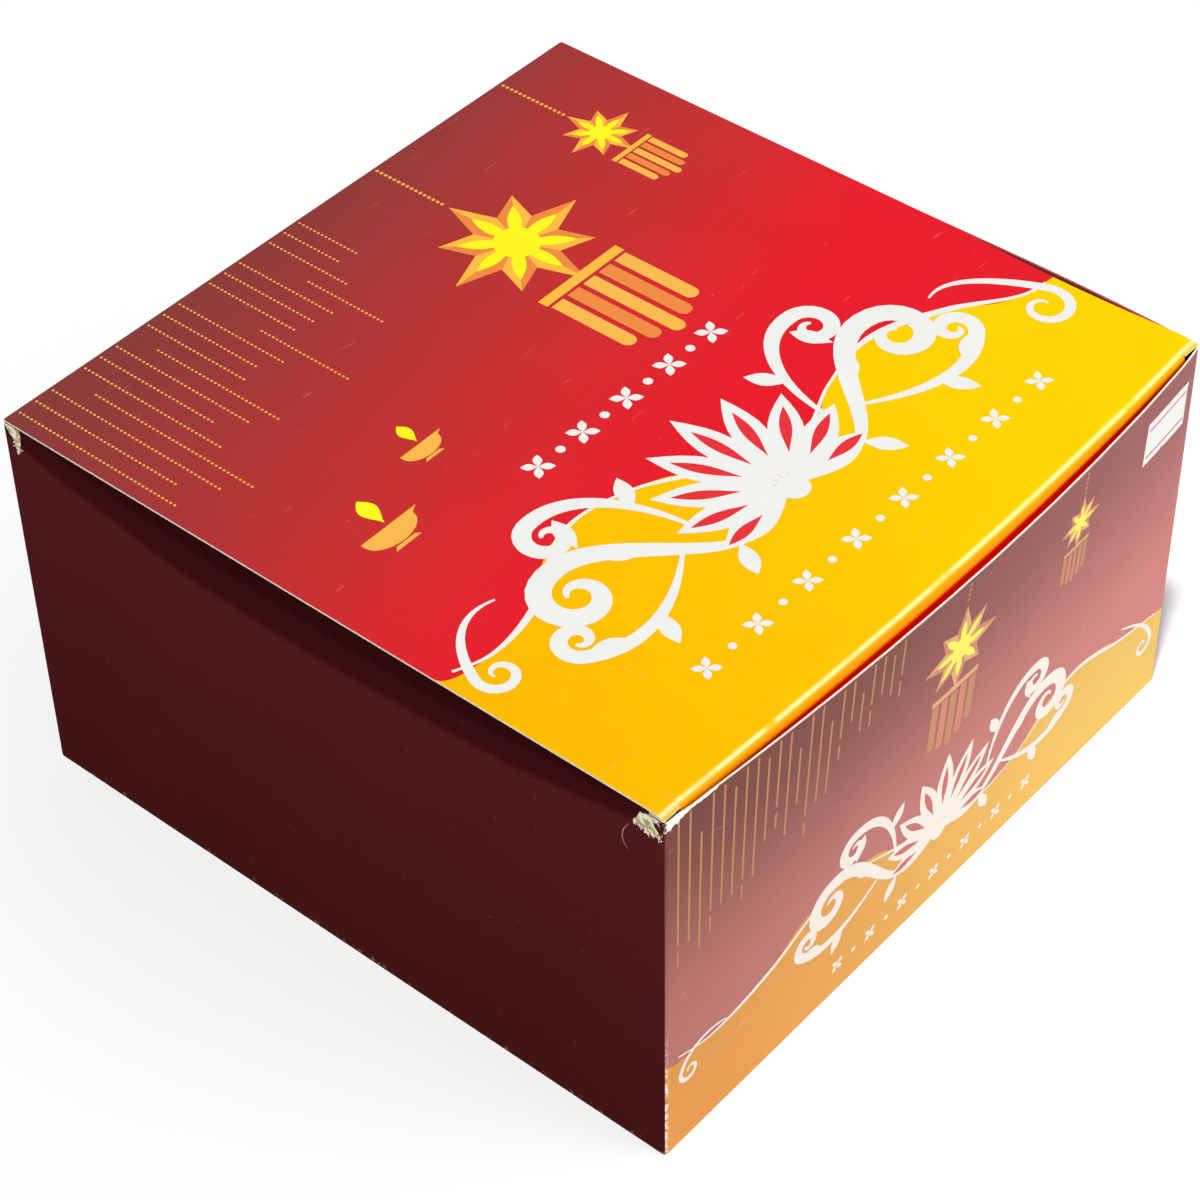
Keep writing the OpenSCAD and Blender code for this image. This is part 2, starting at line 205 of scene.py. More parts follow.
class Shade:
    """Builds one material's nodes."""

    def __init__(self, name):
        self.material = bpy.data.materials.new(name)
        self.material.use_nodes = True
        self.tree = self.material.node_tree
        self.shader = self.tree.nodes["Principled BSDF"]
        coords = self.node("TexCoord")
        split = self.node("SeparateXYZ")
        self.tree.links.new(coords.outputs["Object"], split.inputs[0])
        self.place = coords.outputs["Object"]
        self.x, self.y, self.z = split.outputs

    def node(self, kind):
        return self.tree.nodes.new("ShaderNode" + kind)

    def put(self, socket, value):
        if isinstance(value, bpy.types.NodeSocket):
            self.tree.links.new(value, socket)
        elif isinstance(value, (tuple, list)) or hasattr(value, "r"):
            socket.default_value = (*tuple(value)[:3], 1.0)
        else:
            socket.default_value = value

    def math(self, kind, a, b=0.0, clamp=False):
        node = self.node("Math")
        node.operation, node.use_clamp = kind, clamp
        self.put(node.inputs[0], a)
        self.put(node.inputs[1], b)
        return node.outputs[0]

    def mix(self, share, a, b, kind="MIX"):
        node = self.node("Mix")
        node.data_type, node.blend_type = "RGBA", kind
        self.put(node.inputs[0], share)
        self.put(node.inputs[6], a)
        self.put(node.inputs[7], b)
        return node.outputs[2]

    def ramp(self, value, low, high):
        """0 at low, 1 at high, smooth between them. The values are in metres or plain."""
        node = self.node("MapRange")
        node.interpolation_type = "SMOOTHSTEP"
        self.put(node.inputs[0], value)
        node.inputs[1].default_value, node.inputs[2].default_value = low, high
        return node.outputs[0]

    def noise(self, scale, detail=3.0, stretch=(1, 1, 1)):
        mapping = self.node("Mapping")
        mapping.inputs["Scale"].default_value = stretch
        self.tree.links.new(self.place, mapping.inputs["Vector"])
        node = self.node("TexNoise")
        self.tree.links.new(mapping.outputs[0], node.inputs["Vector"])
        node.inputs["Scale"].default_value = scale
        node.inputs["Detail"].default_value = detail
        return node.outputs[0]

    def wave(self, value, points):
        """A smooth curve through points (share of the width, millimetres), in metres."""
        span = self.node("MapRange")
        self.put(span.inputs[0], value)
        span.inputs[1].default_value, span.inputs[2].default_value = -HALF * MM, HALF * MM
        node = self.node("FloatCurve")
        self.tree.links.new(span.outputs[0], node.inputs["Value"])
        base = min(height for _, height in points)
        size = max(height for _, height in points) - base
        line = node.mapping.curves[0]
        for k, (share, height) in enumerate(points):
            if k < 2:
                line.points[k].location = (share, (height - base) / size)
            else:
                line.points.new(share, (height - base) / size)
        for point in line.points:
            point.handle_type = "AUTO"
        node.mapping.update()
        return self.math("ADD", self.math("MULTIPLY", node.outputs[0], size * MM), base * MM)

    def paper(self, strength):
        """Raises the fibres and the faint waves of the board's surface."""
        waves = self.math("MULTIPLY", self.noise(60.0, 2.0), 3.0)
        node = self.node("Bump")
        node.inputs["Strength"].default_value = strength
        node.inputs["Distance"].default_value = 0.00004
        self.put(node.inputs["Height"], self.math("ADD", self.noise(1800.0, 4.0), waves))
        self.put(self.shader.inputs["Normal"], node.outputs[0])

    def finish(self, colour, roughness, specular=0.5, coat=0.0, coat_roughness=0.1, bump=0.0):
        if bump:
            self.paper(bump)
        self.put(self.shader.inputs["Base Color"], colour)
        self.put(self.shader.inputs["Roughness"], roughness)
        self.shader.inputs["Specular IOR Level"].default_value = specular
        self.shader.inputs["Coat Weight"].default_value = coat
        self.shader.inputs["Coat Roughness"].default_value = coat_roughness
        return self.material


def once(make):
    """Each material is made a single time and shared."""
    kept = {}

    def get(*key):
        if key not in kept:
            kept[key] = make(*key)
        return kept[key]

    return get


def wave_at(points, share):
    """The height of a wavy edge at a share of the width: a smooth cubic through its points,
    close to the material's own curve, for the line of ink that runs along it."""
    share = min(max(share, 0.0), 1.0)
    for k in range(len(points) - 1):
        (a, ha), (b, hb) = points[k], points[k + 1]
        if share <= b or k == len(points) - 2:
            before = points[k - 1] if k else (2 * a - b, 2 * ha - hb)
            after = points[k + 2] if k + 2 < len(points) else (2 * b - a, 2 * hb - ha)
            ma = (hb - before[1]) / (b - before[0]) * (b - a)
            mb = (after[1] - ha) / (after[0] - a) * (b - a)
            t = (share - a) / (b - a)
            return ((2 * t**3 - 3 * t**2 + 1) * ha + (t**3 - 2 * t**2 + t) * ma
                    + (3 * t**2 - 2 * t**3) * hb + (t**3 - t**2) * mb)


def times(colour, factor):
    return tuple(min(1.0, factor * c) for c in colour)


def scuffs(shade, colour, pale, amount):
    """Fine pale scratches and a faint mottle over a printed colour."""
    long_noise = shade.noise(90.0, 5.0, stretch=(1.0, 9.0, 3.0))
    lines = shade.ramp(long_noise, 0.70, 0.74)
    spots = shade.ramp(shade.noise(420.0, 2.0), 0.74, 0.80)
    worn = shade.math("MULTIPLY", shade.math("MAXIMUM", lines, spots), amount, True)
    mottle = shade.mix(shade.noise(25.0, 3.0), (0.93, 0.93, 0.93), (1.05, 1.05, 1.05))
    return shade.mix(worn, shade.mix(1.0, colour, mottle, "MULTIPLY"), pale)


@once
def lid_print():
    """Maroon at the hinge to bright red, over a golden field that rolls down the fold."""
    s, look = Shade("lid_print"), settings()
    slope = s.math("SUBTRACT", s.math("MULTIPLY", s.x, 0.2), s.y)
    fade = s.ramp(slope, -0.125, 0.005)
    bright = s.ramp(slope, -0.030, 0.035)
    red = s.mix(bright, (0.56, 0.026, 0.028), tuple(look.red))
    field = s.mix(fade, (0.225, 0.042, 0.038), red)
    warm = s.ramp(s.math("ADD", s.x, s.math("MULTIPLY", s.y, -0.2)), -0.10, 0.10)
    gold = s.mix(warm, (0.92, 0.455, 0.0), (0.93, 0.59, 0.0))
    edge = s.wave(s.x, LID_WAVE)
    below = s.ramp(s.math("SUBTRACT", edge, s.y), -0.00005, 0.00005)
    ink = s.mix(below, field, gold)
    # Past the fold the flap turns from gold to dark red
    roll = s.ramp(s.z, 0.1134, 0.1127)
    ink = s.mix(s.math("MULTIPLY", roll, s.ramp(s.y, -0.095, -0.0985)), ink, (1.0, 0.34, 0.0))
    dark = s.math("MULTIPLY", s.ramp(s.z, 0.1118, 0.1110),
                  s.ramp(s.y, -0.090, -0.091))
    ink = s.mix(dark, ink, (0.70, 0.0, 0.002))
    # The crest of the fold is pale: partly worn ink, partly a painted highlight along the fold
    crest = s.math("MULTIPLY", s.ramp(s.z, 0.11318, 0.11338), s.ramp(s.z, 0.11384, 0.11368))
    crest = s.math("MULTIPLY", crest, s.ramp(s.y, -0.0990, -0.0996))
    crest = s.math("MULTIPLY", crest, s.ramp(s.noise(130.0, 3.0), 0.25, 0.5))
    ink = s.mix(s.math("MULTIPLY", crest, 0.75), ink, (1.0, 0.80, 0.38))
    ink = scuffs(s, ink, (0.95, 0.88, 0.75), 0.05)
    return s.finish(ink, 0.42, 0.04, 0.02, 0.2, bump=0.12)


@once
def front_print():
    """The front wall: maroon above, rosy red lower right, over a golden foot."""
    s = Shade("front_print")
    along = s.ramp(s.x, -0.1, 0.1)
    down = s.ramp(s.z, 0.112, 0.035)
    top = s.mix(along, (0.165, 0.046, 0.036), (0.27, 0.080, 0.072))
    low = s.mix(along, (0.42, 0.140, 0.120), (0.52, 0.175, 0.160))
    gold = s.mix(along, (0.65, 0.27, 0.045), (0.70, 0.45, 0.09))
    edge = s.wave(s.x, WALL_WAVE)
    below = s.ramp(s.math("SUBTRACT", edge, s.z), -0.00005, 0.00005)
    ink = s.mix(below, s.mix(down, top, low), gold)
    # The vertical corner at the left is pale along the fold: partly cracked ink, partly a painted
    # highlight on the crease
    corner = s.math("MULTIPLY", s.ramp(s.x, -0.1000, -0.1012), s.ramp(s.noise(700.0, 4.0), 0.42, 0.56))
    corner = s.math("MULTIPLY", corner, s.ramp(s.z, 0.048, 0.020))
    ink = s.mix(corner, ink, (0.90, 0.85, 0.76))
    ink = scuffs(s, ink, (0.85, 0.74, 0.66), 0.08)
    return s.finish(ink, 0.42, 0.06, 0.03, 0.22, bump=0.12)


@once
def side_print_with_painted_shade(shaded=False):
    """The side and back walls: plain maroon, a little darker towards the foot, and darker than the
    right wall's maroon: partly the print, partly painted shade of the side that the light misses.
    On the slack left wall, the band that the lid's edge keeps from the light is a painted shadow."""
    s, look = Shade("left_print_with_painted_shadow" if shaded else "side_print_with_painted_shade"), settings()
    down = s.ramp(s.z, 0.112, 0.0)
    # The maroon here is partly painted shade, kept darker than on the right wall
    ink = s.mix(down, times(look.maroon, 0.85), times(look.maroon, 0.62))
    ink = scuffs(s, ink, PALE_MAROON, 0.10)
    if shaded:
        # Painted shadow: the band under the lid's edge is painted darker
        edge = s.wave(s.y, LID_SHADE)
        band = s.ramp(s.math("SUBTRACT", s.z, edge), -0.0012, 0.0022)
        ink = s.mix(s.math("MULTIPLY", band, 0.58), ink, (0.018, 0.0, 0.001))
    foot = s.math("MULTIPLY", s.ramp(s.z, 0.0022, 0.0004), s.ramp(s.noise(600.0, 4.0), 0.56, 0.70))
    ink = s.mix(s.math("MULTIPLY", foot, 0.35), ink, (0.60, 0.45, 0.38))
    return s.finish(ink, 0.6, 0.0, 0.0, 0.2, bump=0.12)


@once
def right_print():
    """The right wall: maroon that turns rosy towards the front."""
    s, look = Shade("right_print"), settings()
    along = s.ramp(s.y, 0.10, -0.09)
    ink = s.mix(along, times(look.maroon, 1.6), (0.50, 0.055, 0.065))
    ink = scuffs(s, ink, (0.55, 0.28, 0.26), 0.10)
    return s.finish(ink, 0.36, 0.35, 0.3, 0.16, bump=0.12)


def flecked_board(shade):
    """The bare inside of the board: warm grey with darker and lighter specks."""
    base = settings().grey_board
    fleck = shade.ramp(shade.noise(900.0, 5.0), 0.35, 0.65)
    return shade.mix(fleck, times(base, 0.80), times(base, 1.14))


@once
def grey_board():
    """Uncoated recycled board, with single dark fibres."""
    s = Shade("grey_board")
    tone = flecked_board(s)
    fibre = s.ramp(s.noise(1500.0, 3.0, stretch=(1, 5, 2)), 0.66, 0.72)
    tone = s.mix(s.math("MULTIPLY", fibre, 0.5), tone, (0.24, 0.19, 0.13))
    return s.finish(tone, 0.92, 0.2, bump=0.5)


@once
def raw_edge():
    """The cut edge of the board: cream, with the grey middle ply showing in places."""
    s, look = Shade("raw_edge"), settings()
    ply = s.ramp(s.noise(1400.0, 4.0), 0.40, 0.62)
    tone = s.mix(ply, times(look.raw_edge, 0.82), tuple(look.raw_edge))
    return s.finish(tone, 0.9, 0.2, bump=0.6)


@once
def torn_board():
    """Torn plies at the worn corners: cream board with white fibres, mottled with olive yellow that is
    painted shade of the board inside the torn notch.
    """
    s = Shade("torn_board")
    tone = s.mix(s.ramp(s.noise(700.0, 4.0), 0.42, 0.60), (0.45, 0.36, 0.12), (0.88, 0.84, 0.70))
    return s.finish(tone, 0.95, 0.15, bump=0.8)


@once
def ink(name, colour, shine):
    """A flat printed ink under the coating, with a faint unevenness."""
    s = Shade(name)
    tone = s.mix(s.noise(60.0, 3.0), times(colour, 0.94), times(colour, 1.04))
    return s.finish(tone, 0.34, shine, 0.2 * shine, 0.14, bump=0.1)


@once
def sticker_paper():
    """Smooth label paper with two thin printed red lines."""
    s, look = Shade("sticker_paper"), settings()
    tone = s.mix(s.noise(300.0, 3.0), times(look.paper, 0.95), tuple(look.paper))
    lo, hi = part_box("price_sticker")
    for share in (0.17, 0.80):
        height = lo.z + (hi.z - lo.z) * share
        off = s.math("ABSOLUTE", s.math("SUBTRACT", s.z, height))
        inside = s.math("MULTIPLY", s.ramp(s.x, lo.x + 0.0008, lo.x + 0.0010),
                        s.ramp(s.x, hi.x - 0.0005, hi.x - 0.0007))
        line = s.math("MULTIPLY", s.ramp(off, 0.00034, 0.00026), inside)
        tone = s.mix(line, tone, (0.70, 0.02, 0.03))
    return s.finish(tone, 0.55, 0.4, bump=0.3)


@once
def glue():
    s = Shade("dried_glue")
    tone = s.mix(s.noise(200.0, 4.0), (0.60, 0.50, 0.27), (0.75, 0.66, 0.42))
    return s.finish(tone, 0.45, 0.5, bump=0.4)


@once
def flap_sides():
    """Dust flaps: printed side up, grey board below, raw edge between."""
    s, look = Shade("dust_flap_sides"), settings()
    printed = scuffs(s, times(look.maroon, 0.8), PALE_MAROON, 0.3)
    tone = s.mix(s.ramp(s.z, 0.11315, 0.11319), tuple(look.raw_edge), printed)
    tone = s.mix(s.ramp(s.z, 0.11276, 0.11272), tone, flecked_board(s))
    return s.finish(tone, 0.5, 0.3, bump=0.2)


@once
def bottom_sides(level):
    """A bottom flap: grey board above and printed below, by the height of its layer."""
    s, look = Shade(f"bottom_flap_{level}"), settings()
    printed = scuffs(s, times(look.maroon, 0.7), PALE_MAROON, 0.3)
    low = level * BOARD * MM
    tone = s.mix(s.ramp(s.z, low + 0.00004, low + 0.00002), flecked_board(s), printed)
    return s.finish(tone, 0.85, 0.2, bump=0.5)


def bow_share(share, skew, fullness, z):
    share = min(max(share, 0.0), 1.0)
    return max(0.0, math.sin(math.pi * share**skew)) ** fullness * (max(z, 0.0) / TOP) ** BOW_RISE


def on_front(u, z, lift=0.0):
    bow = settings().front_bow / MM * bow_share((u + HALF) / (2 * HALF), FRONT_SKEW, FRONT_FULLNESS, z)
    bow /= (FRONT_TOP / TOP) ** BOW_RISE
    return Vector((u, -HALF - bow - lift, z))


def on_left(u, z, lift=0.0):
    """u runs from the back to the front, as seen from outside."""
    bow = settings().left_bow / MM * bow_share((u + HALF) / (2 * HALF), 1.0, 1.0, z)
    return Vector((-HALF + bow - lift, -u, z))


def on_right(u, z, lift=0.0):
    """u runs from the front to the back, as seen from outside."""
    bow = settings().right_bow / MM * bow_share((HALF - u) / (2 * HALF), RIGHT_SKEW, 1.0, z)
    return Vector((HALF + bow + lift, u, z))


def on_back(u, z, lift=0.0):
    """u runs from the right to the left corner of the carton."""
    return Vector((-u, HALF + lift, z))


def on_lid(x, y, lift=0.0):
    return Vector((x, y, TOP - SKIN + lift))


def fold_out(x):
    """How far the soft fold is pushed forward at x."""
    share = (x + HALF) / (2 * HALF)
    bow = settings().front_bow / MM * bow_share(share, FRONT_SKEW, FRONT_FULLNESS, TOP)
    return settings().fold_share * bow


def on_fold(x, angle):
    """A point of the soft fold, by its angle from straight up."""
    a = math.radians(angle)
    middle = TOP - SKIN - FOLD_R
    return Vector((x, FOLD_Y - fold_out(x) - FOLD_R * math.sin(a), middle + FOLD_R * math.cos(a)))


def on_tuck(x, down):
    """A point of the tuck flap, by its distance below the crease along the board. It leaves
    the fold and then lies close behind the slack front wall."""
    end = 90.0 + TUCK_LEAN
    turn = math.radians(end - TUCK_ANGLE) * FOLD_R
    if down <= turn:
        point = on_fold(x, TUCK_ANGLE + math.degrees(down / FOLD_R))
    else:
        lean = math.radians(TUCK_LEAN)
        rest = down - turn
        point = on_fold(x, end) + Vector((0, math.sin(lean) * rest, -math.cos(lean) * rest))
    share = min(1.0, down / TUCK_REACH)
    near = on_front(x, point.z).y + BOARD + TUCK_GAP
    blend = share * share * (3 - 2 * share)
    point.y += min(0.0, near - point.y) * blend
    return point


def spread(low, high, count):
    return [low + (high - low) * k / count for k in range(count + 1)]


def link(name, bm, materials, body, thickness=0.0, inside=1, rim=2):
    """Finishes a bmesh, drawn in millimetres, as an object of the carton. A thickness grows
    the sheet on the side away from its face, with materials for its inside and its rim."""
    bmesh.ops.scale(bm, vec=(MM, MM, MM), verts=bm.verts)
    mesh = bpy.data.meshes.new(name)
    bm.to_mesh(mesh)
    bm.free()
    for material in materials:
        mesh.materials.append(material)
    piece = bpy.data.objects.new(name, mesh)
    bpy.context.scene.collection.objects.link(piece)
    if thickness:
        thicken(piece, thickness, inside, rim)
    if body:
        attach(piece, body)
    return piece


def thicken(piece, thickness, inside, rim):
    """Makes a sheet solid and keeps its cut edges crisp."""
    solid = piece.modifiers.new("board", "SOLIDIFY")
    solid.thickness = thickness * MM
    solid.offset = -1.0
    solid.use_even_offset = True
    solid.material_offset = inside
    solid.material_offset_rim = rim
    made = piece.evaluated_get(bpy.context.evaluated_depsgraph_get())
    piece.data = bpy.data.meshes.new_from_object(made)
    piece.modifiers.clear()
    bm = bmesh.new()
    bm.from_mesh(piece.data)
    for edge in bm.edges:
        if len(edge.link_faces) == 2 and edge.calc_face_angle() > math.radians(CRISP_ANGLE):
            edge.smooth = False
    bm.to_mesh(piece.data)
    bm.free()


def grid(bm, columns, rows, place):
    """A grid of columns and rows whose points are put in place by a function."""
    across, along = len(columns) - 1, len(rows) - 1
    made = bmesh.ops.create_grid(bm, x_segments=across, y_segments=along, size=1.0)["verts"]
    for v in made:
        i = round((v.co.x + 1) / 2 * across)
        j = round((v.co.y + 1) / 2 * along)
        v.co = place(columns[i], rows[j])


def corner_columns(count):
    """Distances along a wall: a rounded corner, the panel, and a rounded corner."""
    flat = HALF - CORNER_R
    ends = [flat + CORNER_R * math.sin(math.radians(a)) for a in CORNER_ANGLES]
    return [-c for c in reversed(ends)] + spread(-flat, flat, count) + ends


def round_corner(place):
    """Turns a flat surface's ends into the rounded corner that two walls share."""

    def placed(u, z, lift=0.0):
        over = abs(u) - (HALF - CORNER_R)
        drop = 0.0
        if over > 0:
            drop = CORNER_R - math.sqrt(max(0.0, CORNER_R**2 - over**2))
        return place(u, z, lift - drop)

    return placed


def face_towards(bm, outward):
    """Turns the faces of a sheet the same way, outward, and shades them smooth."""
    bmesh.ops.recalc_face_normals(bm, faces=bm.faces)
    if sum((f.normal * f.calc_area() for f in bm.faces), Vector()).dot(outward) < 0:
        bmesh.ops.reverse_faces(bm, faces=bm.faces)
    for face in bm.faces:
        face.smooth = True


def wall(name, place, top, material, fray=0.0):
    bm = bmesh.new()
    columns = corner_columns(WALL_COLUMNS)
    rows = spread(WALL_FOOT, top, WALL_ROWS)
    rng = random.Random(name)
    put = round_corner(place)
    frayed = {u: rng.uniform(-1.0, 1.0) for u in columns}

    def placed(u, z):
        point = put(u, z)
        if z == top and fray:
            near_end = max(0.0, 1.0 - (HALF - abs(u)) / FRAY_SPAN)
            point.z += frayed[u] * fray * (0.35 + near_end) - 0.05
        return point

    grid(bm, columns, rows, placed)
    face_towards(bm, place(0, 50, 1) - place(0, 50, 0))
    return link(name, bm, [material, grey_board(), raw_edge()], "carton", BOARD)


def arc(cx, cy, r, start, end, count=16):
    return [Vector((cx + r * math.cos(math.radians(a)), cy + r * math.sin(math.radians(a))))
            for a in spread(start, end, count)]


def disc(cx, cy, r, count=20):
    return arc(cx, cy, r, 0, 360, count)[:-1]


def moved(loop, cx, cy, turn=0.0, size=1.0):
    c, s = math.cos(math.radians(turn)), math.sin(math.radians(turn))
    return [Vector((cx + size * (p.x * c - p.y * s), cy + size * (p.x * s + p.y * c))) for p in loop]


def leaf(length, width, belly=1.0, count=9):
    """A leaf along +Y from the origin, fullest lower down as belly grows."""
    right = []
    for k in range(1, count):
        half = width / 2 * math.sin(math.pi * (k / count) ** (1 / belly))
        right.append(Vector((half, length * k / count)))
    left = [Vector((-p.x, p.y)) for p in reversed(right)]
    return [Vector((0, 0)), *right, Vector((0, length)), *left]


def stroke(path, width):
    """The outline of a pen stroke along a path, whose width is a function of the share."""
    left, right = [], []
    last = len(path) - 1
    for k, p in enumerate(path):
        ahead = path[min(k + 1, last)] - path[max(k - 1, 0)]
        side = Vector((-ahead.y, ahead.x)).normalized() * (width(k / last) / 2)
        left.append(p + side)
        right.append(p - side)
    return left + right[::-1]


def swirl(path, radius, turns, shrink=0.22, count=26):
    """Lets a path end in a spiral, which winds to the left for positive turns."""
    ahead = (path[-1] - path[-2]).normalized()
    hand = 1 if turns > 0 else -1
    middle = path[-1] + Vector((-ahead.y, ahead.x)) * radius * hand
    out = path[-1] - middle
    start = math.degrees(math.atan2(out.y, out.x))
    spiral = []
    for t in spread(0.0, 1.0, count)[1:]:
        a = math.radians(start + 360 * turns * t)
        reach = radius * (1 - (1 - shrink) * t)
        spiral.append(Vector((middle.x + reach * math.cos(a), middle.y + reach * math.sin(a))))
    return path + spiral


def bezier(a, b, c, d, count=22):
    a, b, c, d = (Vector(p) for p in (a, b, c, d))
    path = []
    for t in spread(0.0, 1.0, count):
        u = 1.0 - t
        path.append(u**3 * a + 3 * u * u * t * b + 3 * u * t * t * c + t**3 * d)
    return path


def swell(thin, thick, power=1.1):
    """The width of a pen stroke that is thin at both ends."""
    return lambda t: thin + (thick - thin) * math.sin(math.pi * t) ** power


def flower(cx, cy, r, petals=4, turn=45.0):
    return [moved(leaf(r, 0.55 * r, 0.9), cx, cy, turn + 360 * k / petals) for k in range(petals)]


def bead_string(x, top, bottom, pitch=1.3, width=0.62, length=0.86):
    """Small long beads, one below the other."""
    loops = []
    for k in range(int((top - bottom) / pitch)):
        bead = [Vector((0, 0.5)), Vector((0.5, 0.2)), Vector((0.5, -0.2)),
                Vector((0, -0.5)), Vector((-0.5, -0.2)), Vector((-0.5, 0.2))]
        middle = Vector((x, top - 0.5 * pitch - k * pitch))
        loops.append([Vector((p.x * width, p.y * length)) + middle for p in bead])
    return loops


def lotus(layers, cx, cy, size):
    """An open lotus of nine white petals, each with a rosy heart."""
    for angle, reach in ((92, 0.70), (-92, 0.70), (70, 0.84), (-70, 0.84), (47, 0.90), (-47, 0.90),
                         (23, 0.96), (-23, 0.96), (0, 1.0)):
        out = Vector((-math.sin(math.radians(angle)), math.cos(math.radians(angle))))
        for layer, share, width, foot in (("white", 1.0, 0.25, 0.04), ("rose", 0.52, 0.085, 0.34)):
            petal = moved(leaf(size * reach * share, size * width, 0.85), 0, 0, angle)
            layers[layer].append([p + out * size * foot + Vector((cx, cy)) for p in petal])
    layers["white"].append(disc(cx, cy, 0.115 * size))


def ornament(layers, cx, cy, size):
    """A lotus between scrolls drawn thick and thin, 150 mm wide at size 1."""
    lotus(layers, cx, cy - 15 * size, 33 * size)
    scrolls = (
        (swirl(bezier((8, -14), (27, -31), (36, 14), (57, 7)), 8.5, -1.12), 5.6),
        (swirl(bezier((23, -9), (24, 9), (33, 23), (46, 21)), 6.0, -1.10), 4.2),
        (swirl(bezier((30, -9), (41, -17), (56, -24), (68, -14)), 5.0, 1.10), 3.8),
    )
    leaves = ((21, -17, -150), (34, -3, -62), (44, 8, 18), (27, 7, 30), (48, -17, -155), (57, -19, -60))
    for side in (-1, 1):
        for path, thick in scrolls:
            loop = stroke([Vector((side * p.x, p.y)) for p in path], swell(0.8, thick))
            layers["white"].append(moved(loop, cx, cy, 0, size))
        for x, y, turn in leaves:
            blade = leaf(10.5 * size, 4.4 * size, 0.9)
            layers["white"].append(moved(blade, cx + side * x * size, cy + y * size, side * turn))


def star_lantern(layers, cx, cy, r, top):
    """A faceted paper star of eight rays on a string of beads, with streamers below."""

    def at(reach, angle):
        a = math.radians(angle)
        return Vector((cx + reach * math.sin(a), cy + reach * math.cos(a)))

    layers["amber"] += bead_string(cx, top, cy + r, 1.5, 1.0, 1.1)
    for k in range(8):
        tip = at(r if k % 2 == 0 else 0.86 * r, 45 * k)
        layers["orange"].append([at(0, 0), at(0.50 * r, 45 * k - 22.5), tip])
        layers["honey"].append([at(0, 0), tip, at(0.50 * r, 45 * k + 22.5)])
        layers["yellow"].append(moved(leaf(0.66 * r, 0.16 * r, 0.8), cx, cy, 45 * k))
    layers["yellow"].append(disc(cx, cy, 0.27 * r, 24))
    bar = cy - 0.86 * r
    corners = ((-1, 0), (1, 0), (1, 1), (-1, 1))
    layers["honey"].append([Vector((cx + i * 0.64 * r, bar - j * 0.13 * r)) for i, j in corners])
    for k in range(5):
        x, half = cx + (k - 2) * 0.26 * r, 0.095 * r
        head, foot = bar - 0.17 * r, bar - (1.15 + 0.12 * (2 - abs(k - 2))) * r
        streamer = [Vector((x + half, head)), Vector((x - half, head)), *arc(x, foot, half, 180, 360, 8)]
        layers["orange" if k % 2 else "amber"].append(streamer)


def lamp(layers, cx, cy, size):
    """An oil lamp: a bowl with a rim and a foot, and its flame."""
    round_side = [Vector((p.x, 0.62 * p.y)) for p in arc(0, 0, 1.0, 180, 360, 14)[1:-1]]
    bowl = [Vector(p) for p in ((-1.0, 0.16), (-1.0, 0.0), *round_side, (1.0, 0.0), (1.3, 0.16))]
    foot = [Vector(p) for p in ((-0.38, -0.66), (0.38, -0.66), (0.52, -0.80), (-0.52, -0.80))]
    layers["amber"] += [moved(bowl, cx, cy, 0, size), moved(foot, cx, cy, 0, size)]
    layers["yellow"].append(moved(moved(leaf(1.25, 0.62, 0.75), 0.15, 0.30, -6), cx, cy, 0, size))


def flower_row(layers, cx, y, pitch, count, r):
    """Flowers and dots by turns."""
    for k in range(count):
        x = cx + (k - (count - 1) / 2) * pitch
        if k % 2 == 0:
            layers["white"] += flower(x, y, r)
        else:
            layers["white"].append(disc(x, y, 0.3 * r, 12))


def wave_line(layers, points, width):
    """The line along the golden field, thick and thin by turns."""
    path = [Vector((x, wave_at(points, (x + HALF) / (2 * HALF))))
            for x in spread(-WAVE_END, WAVE_END, 120)]
    layers["white"].append(stroke(path, lambda t: width * (0.5 + 0.9 * math.sin(3 * math.pi * t) ** 2)))


def print_layer(name, loops, place, body, material, lift, cut=0.0, thickness=INK_THICKNESS):
    """Ink: flat shapes laid on a surface, cut into strips where that surface curves."""
    bm = bmesh.new()
    for k, loop in enumerate(loops):
        # Each shape lies a little above the one before, so that no two faces coincide
        step = (k % INK_STEPS) * INK_STEP
        face = bm.faces.new([bm.verts.new((p.x, p.y, step)) for p in loop])
        face.normal_update()
        if face.normal.z < 0:
            face.normal_flip()
    if cut:
        cuts = [((u, 0, 0), (1, 0, 0)) for u in spread(-HALF, HALF, round(2 * HALF / cut))]
        cuts += [((0, z, 0), (0, 1, 0)) for z in spread(0, TOP, INK_BANDS)]
        for point, normal in cuts:
            geom = [*bm.verts, *bm.edges, *bm.faces]
            bmesh.ops.bisect_plane(bm, geom=geom, plane_co=point, plane_no=normal)
    bmesh.ops.triangulate(bm, faces=bm.faces, quad_method="BEAUTY", ngon_method="BEAUTY")
    for v in bm.verts:
        v.co = place(v.co.x, v.co.y, lift + v.co.z)
    across, upward = place(1, 50) - place(0, 50), place(0, 51) - place(0, 50)
    outward = place(0, 50, 1.0) - place(0, 50, 0.0)
    if across.cross(upward).dot(outward) < 0:
        bmesh.ops.reverse_faces(bm, faces=bm.faces)
    return link(name, bm, [material], body, thickness, 0, 0)


class Step:
    """What all steps share: each builds its pieces and is done."""

    def execute(self, context):
        self.build()
        return {"FINISHED"}


class SWEETBOX_OT_walls(Step, bpy.types.Operator):
    """Four slack walls with rounded vertical folds and a raw front edge"""

    bl_idname = "sweetbox.walls"
    bl_label = "Walls"

    def build(self):
        side_top = WALL_TOP - BOARD
        for node, place, top, material, fray in (
            ("front_wall", on_front, FRONT_TOP - 0.1, front_print(), FRONT_FRAY),
            ("left_wall", on_left, side_top, side_print_with_painted_shade(True), 0.0),
            ("right_wall", on_right, side_top, right_print(), 0.0),
            ("back_wall", on_back, side_top, side_print_with_painted_shade(), 0.0),
        ):
            piece = wall("board_" + node, place, top, material, fray)
            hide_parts(node)


